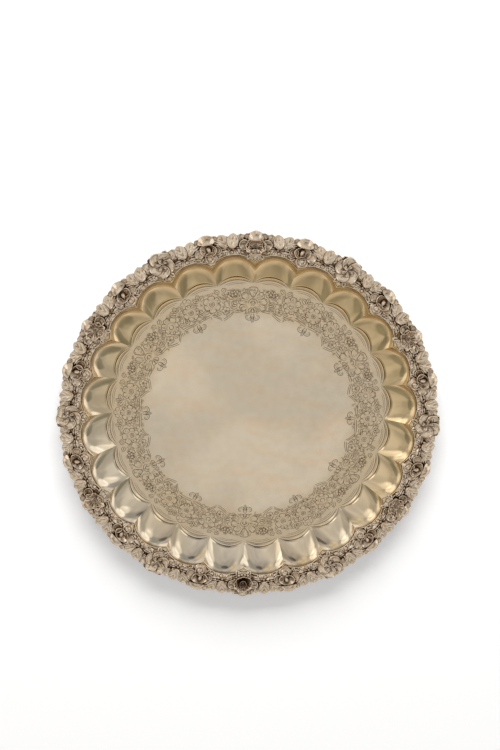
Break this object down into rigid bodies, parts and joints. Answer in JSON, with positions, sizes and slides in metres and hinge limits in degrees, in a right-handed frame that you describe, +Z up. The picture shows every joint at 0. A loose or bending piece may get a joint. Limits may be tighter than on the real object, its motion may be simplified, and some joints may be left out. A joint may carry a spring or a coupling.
{
  "type": "salver",
  "caption": "Round silver salver: a fluted sheet tray with an engraved flat well and a cast border of blossoms and leaves soldered to its flange.",
  "frame": {"origin": "centre of the flat underside, on the plane that the salver rests on", "axes": "+Z up out of the well; +Y towards the middle of poppy_blossom_1, and the blossoms go clockwise from there seen from above"},
  "size_m": [0.354, 0.354, 0.0224],
  "materials": {
    "sheet_silver": "satin well and polished flutes, lightly tarnished",
    "bright_silver": "polished",
    "cast_silver": "chased and polished on the high parts, dark oxide in the recesses"
  },
  "bodies": {
    "root": {"tray_body": "sheet_silver", "fillet_wire": "bright_silver", "poppy_blossom_1": "cast_silver", "tulip_cluster_01": "cast_silver", "wild_rose_1": "cast_silver", "tulip_cluster_02": "cast_silver", "poppy_blossom_2": "cast_silver", "tulip_cluster_03": "cast_silver", "wild_rose_2": "cast_silver", "tulip_cluster_04": "cast_silver", "poppy_blossom_3": "cast_silver", "tulip_cluster_05": "cast_silver", "wild_rose_3": "cast_silver", "tulip_cluster_06": "cast_silver", "poppy_blossom_4": "cast_silver", "tulip_cluster_07": "cast_silver", "wild_rose_4": "cast_silver", "tulip_cluster_08": "cast_silver", "poppy_blossom_5": "cast_silver", "tulip_cluster_09": "cast_silver", "wild_rose_5": "cast_silver", "tulip_cluster_10": "cast_silver", "poppy_blossom_6": "cast_silver", "tulip_cluster_11": "cast_silver", "wild_rose_6": "cast_silver", "tulip_cluster_12": "cast_silver", "leaf_spray_01": "cast_silver", "leaf_spray_02": "cast_silver", "leaf_spray_03": "cast_silver", "leaf_spray_04": "cast_silver", "leaf_spray_05": "cast_silver", "leaf_spray_06": "cast_silver", "leaf_spray_07": "cast_silver", "leaf_spray_08": "cast_silver", "leaf_spray_09": "cast_silver", "leaf_spray_10": "cast_silver", "leaf_spray_11": "cast_silver", "leaf_spray_12": "cast_silver", "leaf_spray_13": "cast_silver", "leaf_spray_14": "cast_silver", "leaf_spray_15": "cast_silver", "leaf_spray_16": "cast_silver", "leaf_spray_17": "cast_silver", "leaf_spray_18": "cast_silver", "leaf_spray_19": "cast_silver", "leaf_spray_20": "cast_silver", "leaf_spray_21": "cast_silver", "leaf_spray_22": "cast_silver", "leaf_spray_23": "cast_silver", "leaf_spray_24": "cast_silver"}
  },
  "joints": []
}
